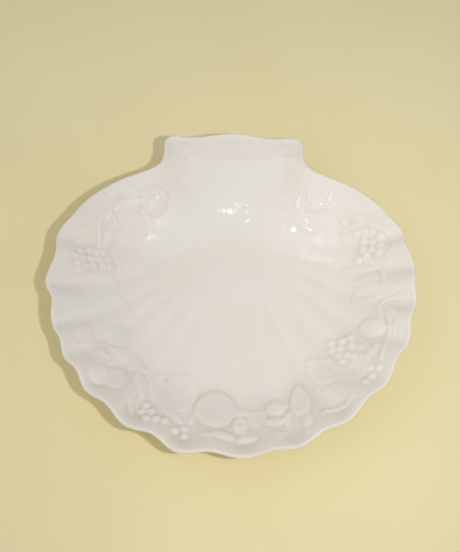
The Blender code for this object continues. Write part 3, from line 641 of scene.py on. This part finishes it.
def build_skin():
    skin = Skin()
    edge = edge_columns()
    centre = np.array(UMBO)
    rows, sizes = [], []
    for shares, every in ((FINE_ROWS, 1), (MIDDLE_ROWS, 2), (INNER_ROWS, 4)):
        for share in shares:
            rows.append(centre + (edge[::every] - centre) * (1.0 - share))
            sizes.append(len(rows[-1]))
    flat = np.vstack(rows + [centre[None]])
    z, d = dish(flat[:, 0], flat[:, 1])
    z = hinge(flat[:, 0], flat[:, 1], z)
    start, before, rim_ring = 0, None, None
    for size in sizes:
        part = slice(start, start + size)
        ring = skin.ring(flat[part, 0], flat[part, 1], z[part], UPPER)
        if before is not None:
            skin.band(before, ring)
        else:
            rim_ring, rim_z = ring, z[part]
        before = ring
        start += size
    skin.cap(before, UMBO[0], UMBO[1], z[-1], UPPER)
    upper_depth = d
    # Rounded rim.
    tangent = np.roll(edge, -1, 0) - np.roll(edge, 1, 0)
    out = np.column_stack([tangent[:, 1], -tangent[:, 0]])
    out /= np.linalg.norm(out, axis=1)[:, None]
    tilt, half = math.radians(LIP_TILT), LIP_THICKNESS / 2.0
    before = rim_ring
    for k in range(1, LIP_STEPS + 1):
        turn = math.pi * k / LIP_STEPS
        flat_out = half * (math.sin(tilt) + math.sin(turn) * math.cos(tilt) - math.cos(turn) * math.sin(tilt))
        rise = half * (-math.cos(tilt) + math.sin(turn) * math.sin(tilt) + math.cos(turn) * math.cos(tilt))
        ring = skin.ring(edge[:, 0] + out[:, 0] * flat_out, edge[:, 1] + out[:, 1] * flat_out, rim_z + rise, LIP)
        skin.band(before, ring, flip=True)
        before = ring
    # Underside of the wall.
    bearings = np.arctan2(edge[:, 1] - FOOT_CENTRE[1], edge[:, 0] - FOOT_CENTRE[0])
    flank = FOOT_FLAT / 2.0 + 3.4
    foot_x, foot_y = foot_loop(bearings, flank)
    outer = edge + out * (2.0 * half * math.sin(tilt))
    for share in (0.03, 0.07, 0.12, 0.18, 0.25, 0.32, 0.40, 0.48, 0.56, 0.64, 0.73, 0.82, 0.91, 1.0):
        every = 2
        x = (outer[:, 0] * (1.0 - share) + foot_x * share)[::every]
        y = (outer[:, 1] * (1.0 - share) + foot_y * share)[::every]
        ring = skin.ring(x, y, lower(x, y), UNDER)
        skin.band(before, ring, flip=True)
        before = ring
    # Foot ring: a rounded shoulder either side of a flat.
    bearings = bearings[::2]
    wall = FOOT_FLAT / 2.0
    for offset, rise, kind in ((wall + 2.2, 2.7, UNDER), (wall + 1.7, 1.6, UNDER), (wall + 1.2, 0.8, UNDER), (wall + 0.7, 0.25, FOOT), (wall, 0.0, FOOT),
                               (0.0, 0.0, FOOT), (-wall, 0.0, FOOT), (-wall - 0.7, 0.25, FOOT), (-wall - 1.2, 0.8, UNDER), (-wall - 1.7, 1.6, UNDER),
                               (-wall - 2.2, 2.7, UNDER), (-flank, None, UNDER)):
        x, y = foot_loop(bearings, offset)
        ring = skin.ring(x, y, lower(x, y) if rise is None else np.full(len(x), rise), kind)
        skin.band(before, ring, flip=True)
        before = ring
    inner_x, inner_y = x, y
    for share, every in ((0.88, 2), (0.74, 2), (0.58, 2), (0.42, 4), (0.26, 4), (0.12, 4)):
        x = (FOOT_CENTRE[0] + (inner_x - FOOT_CENTRE[0]) * share)[::every]
        y = (FOOT_CENTRE[1] + (inner_y - FOOT_CENTRE[1]) * share)[::every]
        ring = skin.ring(x, y, lower(x, y), UNDER)
        skin.band(before, ring, flip=True)
        before = ring
    middle = float(lower(np.array([FOOT_CENTRE[0]]), np.array([FOOT_CENTRE[1]]))[0])
    skin.cap(before, FOOT_CENTRE[0], FOOT_CENTRE[1], middle, UNDER, flip=True)
    return np.vstack(skin.points), np.concatenate(skin.kinds), skin.faces, upper_depth


def drift(x, y, scale, seed):
    """Slow irregular waves from -1 to 1, as hand-finished clay has."""
    rng = np.random.default_rng(seed)
    total = np.zeros(len(x))
    for _ in range(9):
        angle, phase, size = rng.uniform(0, 2 * math.pi), rng.uniform(0, 2 * math.pi), scale * rng.uniform(0.7, 1.5)
        total += np.sin((x * math.cos(angle) + y * math.sin(angle)) * 2.0 * math.pi / size + phase)
    return total / 4.5


def make_platter():
    points, kinds, faces, upper_depth = build_skin()
    mesh = bpy.data.meshes.new("glazed_platter")
    mesh.from_pydata((points * 0.001).tolist(), [], faces)
    mesh.update()
    count = len(points)
    normal = np.empty(count * 3, np.float32)
    mesh.vertices.foreach_get("normal", normal)
    normal = normal.reshape(-1, 3).astype(float)

    x, y = points[:, 0], points[:, 1]
    up = kinds == UPPER
    lift = np.zeros(count)
    fade = smooth(upper_depth, 1.5, 5.0)
    lift[up] = sample(RELIEF, x[up], y[up]) * fade + bead(x[up], y[up]) * fade
    lift[up] += 0.10 * drift(x[up], y[up], 34.0, 5) * smooth(upper_depth, 3.0, 14.0)
    moved = points + normal * lift[:, None]
    mesh.vertices.foreach_set("co", (moved * 0.001).astype(np.float32).ravel())
    mesh.update()

    # Painted shade: the hollows round the relief get a darker, warmer colour, partly glaze that pools there and partly
    # shade; raised tops get values below zero, which the material paints lighter.
    pooling_shade_and_light = np.zeros(count)
    pooling_shade_and_light[up] = 0.80 * sample(CAVITY, x[up], y[up]) * fade
    wave, window, _ = flutes(x[up], y[up])
    # Painted shade on the front wall just inside the rim, deepest in the middle of each flute pocket.
    front_wall_shade = np.exp(-((upper_depth - 7.0) / 5.5) ** 2) * smooth(-y[up], 48.0, 112.0) * window
    pooling_shade_and_light[up] += front_wall_shade * (0.12 + 0.27 * smooth(wave, 0.0, 0.9))
    rim = np.zeros(count)
    rim[up] = 1.0 - smooth(upper_depth, 0.0, 1.6)
    rim[kinds == LIP] = 1.0
    bare = (kinds == FOOT).astype(float)
    # Painted flute shade and light: ribs darker, flute middles lighter.
    band = np.full(count, 0.5)
    band[up] = 0.5 + 0.42 * painted_flute_shade(x[up], y[up])
    for name, values in (("pooling_shade_and_light", pooling_shade_and_light), ("rim", rim), ("bare", bare), ("band", band)):
        layer = mesh.attributes.new(name, "FLOAT", "POINT")
        layer.data.foreach_set("value", values.astype(np.float32))

    mesh.materials.append(cream_glaze())
    mesh.shade_smooth()
    platter = bpy.data.objects.new("glazed_platter", mesh)
    bpy.context.scene.collection.objects.link(platter)
    triangles = sum(len(f) - 2 for f in faces)
    print("platter triangles", triangles)
    return platter


# ---------------------------------------------------------------- materials

def linear(red, green, blue):
    """Scene colour of a display colour given from 0 to 255."""
    return tuple(c / 12.92 if c <= 0.04045 else ((c + 0.055) / 1.055) ** 2.4 for c in (red / 255.0, green / 255.0, blue / 255.0)) + (1.0,)


def node(tree, kind, at, **values):
    made = tree.nodes.new(kind)
    made.location = at
    for name, value in values.items():
        setattr(made, name, value)
    return made


def mix_colour(tree, at, factor, a, b, blend="MIX"):
    made = node(tree, "ShaderNodeMix", at, data_type="RGBA", blend_type=blend)
    for socket, value in ((made.inputs[0], factor), (made.inputs[6], a), (made.inputs[7], b)):
        if isinstance(value, bpy.types.NodeSocket):
            tree.links.new(value, socket)
        else:
            socket.default_value = value
    return made.outputs[2]


def span(tree, at, value, low, high, to_low=0.0, to_high=1.0):
    made = node(tree, "ShaderNodeMapRange", at, clamp=True)
    tree.links.new(value, made.inputs[0])
    made.inputs[1].default_value, made.inputs[2].default_value = low, high
    made.inputs[3].default_value, made.inputs[4].default_value = to_low, to_high
    return made.outputs[0]


def cream_glaze():
    """Thick glossy cream glaze with a faint cloudiness and a tint on the lip where it runs thin. Painted shade makes it
    darker and warmer in the hollows round the relief, partly glaze that pools there, and on the front wall just inside
    the rim; painted light makes the relief's raised tops lighter; painted shade and light make each flute's ribs darker
    and its middle lighter. The foot's flat is bare clay.
    """
    material = bpy.data.materials.new("cream_glaze")
    material.use_nodes = True
    tree = material.node_tree
    surface = tree.nodes["Principled BSDF"]
    place = node(tree, "ShaderNodeTexCoord", (-1500, 0)).outputs["Object"]
    pooling_shade_and_light = node(tree, "ShaderNodeAttribute", (-1500, 300), attribute_name="pooling_shade_and_light").outputs["Fac"]
    rim = node(tree, "ShaderNodeAttribute", (-1500, 500), attribute_name="rim").outputs["Fac"]
    bare = node(tree, "ShaderNodeAttribute", (-1500, 700), attribute_name="bare").outputs["Fac"]
    band = node(tree, "ShaderNodeAttribute", (-1500, 900), attribute_name="band").outputs["Fac"]

    cloud = node(tree, "ShaderNodeTexNoise", (-1250, 0))
    cloud.inputs["Scale"].default_value = 22.0
    cloud.inputs["Detail"].default_value = 3.0
    tree.links.new(place, cloud.inputs["Vector"])
    fine = node(tree, "ShaderNodeTexNoise", (-1250, -250))
    fine.inputs["Scale"].default_value = 260.0
    fine.inputs["Detail"].default_value = 2.0
    tree.links.new(place, fine.inputs["Vector"])

    base = mix_colour(tree, (-800, 0), span(tree, (-1000, 0), cloud.outputs["Fac"], 0.35, 0.65), linear(232, 226, 216), linear(230, 224, 213))
    base = mix_colour(tree, (-600, 0), span(tree, (-1000, -250), fine.outputs["Fac"], 0.55, 0.72, 0.0, 0.12), base, linear(222, 215, 203))
    # Painted shade: darker, warmer colour in the hollows round the relief (partly pooled glaze) and on the front wall
    # inside the rim.
    base = mix_colour(tree, (-400, 0), span(tree, (-1000, 300), pooling_shade_and_light, 0.02, 0.75, 0.0, 0.75), base, linear(207, 189, 169))
    # Painted light: raised relief tops, where the mask falls below zero, are painted lighter.
    base = mix_colour(tree, (-200, 0), span(tree, (-1000, 450), pooling_shade_and_light, -0.05, -0.6, 0.0, 0.35), base, linear(236, 231, 224))
    base = mix_colour(tree, (0, 0), span(tree, (-1000, 600), rim, 0.2, 1.0, 0.0, 0.5), base, linear(234, 225, 211))
    # Painted shade on the flutes' ribs and painted light along their middles, from the band attribute.
    base = mix_colour(tree, (100, 0), 1.0, base, span(tree, (-100, 700), band, 0.0, 1.0, 0.955, 1.0), "MULTIPLY")
    clay = mix_colour(tree, (0, 250), span(tree, (-1000, -500), fine.outputs["Fac"], 0.35, 0.7), linear(214, 200, 176), linear(190, 172, 146))
    base = mix_colour(tree, (200, 0), bare, base, clay)
    tree.links.new(base, surface.inputs["Base Color"])

    rough = node(tree, "ShaderNodeMapRange", (0, -300), clamp=True)
    tree.links.new(bare, rough.inputs[0])
    rough.inputs[3].default_value, rough.inputs[4].default_value = 0.16, 0.85
    tree.links.new(rough.outputs[0], surface.inputs["Roughness"])
    surface.inputs["IOR"].default_value = 1.5
    surface.inputs["Metallic"].default_value = 0.0

    swell = node(tree, "ShaderNodeTexNoise", (-700, -600))
    swell.inputs["Scale"].default_value = 75.0
    swell.inputs["Detail"].default_value = 1.5
    tree.links.new(place, swell.inputs["Vector"])
    wavy = node(tree, "ShaderNodeBump", (-400, -600))
    wavy.inputs["Strength"].default_value = 0.22
    wavy.inputs["Distance"].default_value = 0.0012
    tree.links.new(swell.outputs["Fac"], wavy.inputs["Height"])
    grain = node(tree, "ShaderNodeBump", (-100, -600))
    grain.inputs["Strength"].default_value = 0.05
    grain.inputs["Distance"].default_value = 0.0003
    tree.links.new(fine.outputs["Fac"], grain.inputs["Height"])
    tree.links.new(wavy.outputs["Normal"], grain.inputs["Normal"])
    tree.links.new(grain.outputs["Normal"], surface.inputs["Normal"])
    return material


def pale_floor():
    material = bpy.data.materials.new("pale_floor")
    material.use_nodes = True
    tree = material.node_tree
    surface = tree.nodes["Principled BSDF"]
    place = node(tree, "ShaderNodeTexCoord", (-900, 0)).outputs["Object"]
    cloud = node(tree, "ShaderNodeTexNoise", (-700, 0))
    cloud.inputs["Scale"].default_value = 6.0
    cloud.inputs["Detail"].default_value = 2.0
    tree.links.new(place, cloud.inputs["Vector"])
    colour = mix_colour(tree, (-300, 0), span(tree, (-500, 0), cloud.outputs["Fac"], 0.3, 0.7), linear(240, 229, 181), linear(236, 224, 174))
    tree.links.new(colour, surface.inputs["Base Color"])
    surface.inputs["Roughness"].default_value = 0.85
    surface.inputs["Specular IOR Level"].default_value = 0.25
    return material


# ---------------------------------------------------------------- stage, light and camera

def area(name, at, towards, size, power, colour):
    data = bpy.data.lights.new(name, "AREA")
    data.shape = "DISK"
    data.size = size
    data.energy = power
    data.color = colour
    light = bpy.data.objects.new(name, data)
    light.location = at
    light.rotation_euler = (Vector(towards) - Vector(at)).to_track_quat("-Z", "Y").to_euler()
    bpy.context.scene.collection.objects.link(light)
    return light


def stage():
    mesh = bpy.data.meshes.new("floor")
    size = 6.0
    mesh.from_pydata([(-size, -size, 0.0), (size, -size, 0.0), (size, size, 0.0), (-size, size, 0.0)], [], [(0, 1, 2, 3)])
    mesh.materials.append(pale_floor())
    floor = bpy.data.objects.new("floor", mesh)
    bpy.context.scene.collection.objects.link(floor)


CAMERA = {"elevation": 67.491, "distance": 0.681200, "yaw": -3.891, "roll": 4.558, "target": (-0.001982, 0.01795, 0.015), "lens": 800.0 / 552.0 * 36.0}


def camera_axes():
    e, yaw, roll = (math.radians(CAMERA[k]) for k in ("elevation", "yaw", "roll"))
    back = Vector((math.sin(yaw) * math.cos(e), -math.cos(yaw) * math.cos(e), math.sin(e)))
    right = Vector((math.cos(yaw), math.sin(yaw), 0.0))
    up = back.cross(right)
    side = right * math.cos(roll) + up * math.sin(roll)
    top = up * math.cos(roll) - right * math.sin(roll)
    return side, top, back


def add_camera():
    side, top, back = camera_axes()
    data = bpy.data.cameras.new("camera")
    data.sensor_fit = "AUTO"
    data.sensor_width = 36.0
    data.lens = CAMERA["lens"]
    data.clip_start, data.clip_end = 0.01, 50.0
    camera = bpy.data.objects.new("camera", data)
    turn = Matrix((side, top, back)).transposed()
    camera.matrix_world = Matrix.Translation(Vector(CAMERA["target"]) + back * CAMERA["distance"]) @ turn.to_4x4()
    bpy.context.scene.collection.objects.link(camera)
    bpy.context.scene.camera = camera
    return camera


KEY_POWER, KEY_COLOUR = 0.76, (1.0, 0.985, 0.965)
GLINT_POWER = 0.20
VEIL_POWER, VEIL_COLOUR = 0.55, (0.50, 0.68, 1.0)
WINDOW_POWER, WINDOW_COLOUR = 1.2, (0.35, 0.55, 1.0)
SOFT_POWER, SOFT_COLOUR = 3.0, (0.97, 0.985, 1.0)
ROOM_POWER, ROOM_COLOUR = 0.47, (1.0, 0.985, 0.975)


def light_scene():
    side, top, back = camera_axes()
    eye = Vector(CAMERA["target"]) + back * CAMERA["distance"]
    key = area("key", eye + side * 0.145, (0.09, 0.07, 0.0), 0.03, KEY_POWER, KEY_COLOUR)
    key.data.spread = math.radians(110.0)
    key.visible_glossy = False
    glint = area("glint", eye + side * 0.04 - top * 0.07, (0.0, 0.0, 0.01), 0.02, GLINT_POWER, KEY_COLOUR)
    glint.visible_diffuse = False
    veil = area("veil", eye + top * 0.05, (0.0, 0.0, 0.01), 0.5, VEIL_POWER, VEIL_COLOUR)
    veil.visible_diffuse = False
    soft = area("soft", Vector((-1.0, -0.10, 0.9)), (0.0, 0.0, 0.0), 1.4, SOFT_POWER, SOFT_COLOUR)
    soft.visible_glossy = False
    window = area("window", Vector((1.1, 0.55, 0.8)), (0.0, 0.0, 0.0), 0.9, WINDOW_POWER, WINDOW_COLOUR)
    world = bpy.data.worlds.new("room")
    world.use_nodes = True
    ground = world.node_tree.nodes["Background"]
    ground.inputs["Color"].default_value = (*ROOM_COLOUR, 1.0)
    ground.inputs["Strength"].default_value = ROOM_POWER
    bpy.context.scene.world = world


# ---------------------------------------------------------------- the scene

scene = bpy.context.scene
scene.view_settings.view_transform = "Standard"
scene.view_settings.look = "None"
scene.view_settings.exposure = 0.0
scene.view_settings.gamma = 1.0

add_camera()
platter = make_platter()
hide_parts("shell_platter")
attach(platter, "root")
stage()
light_scene()
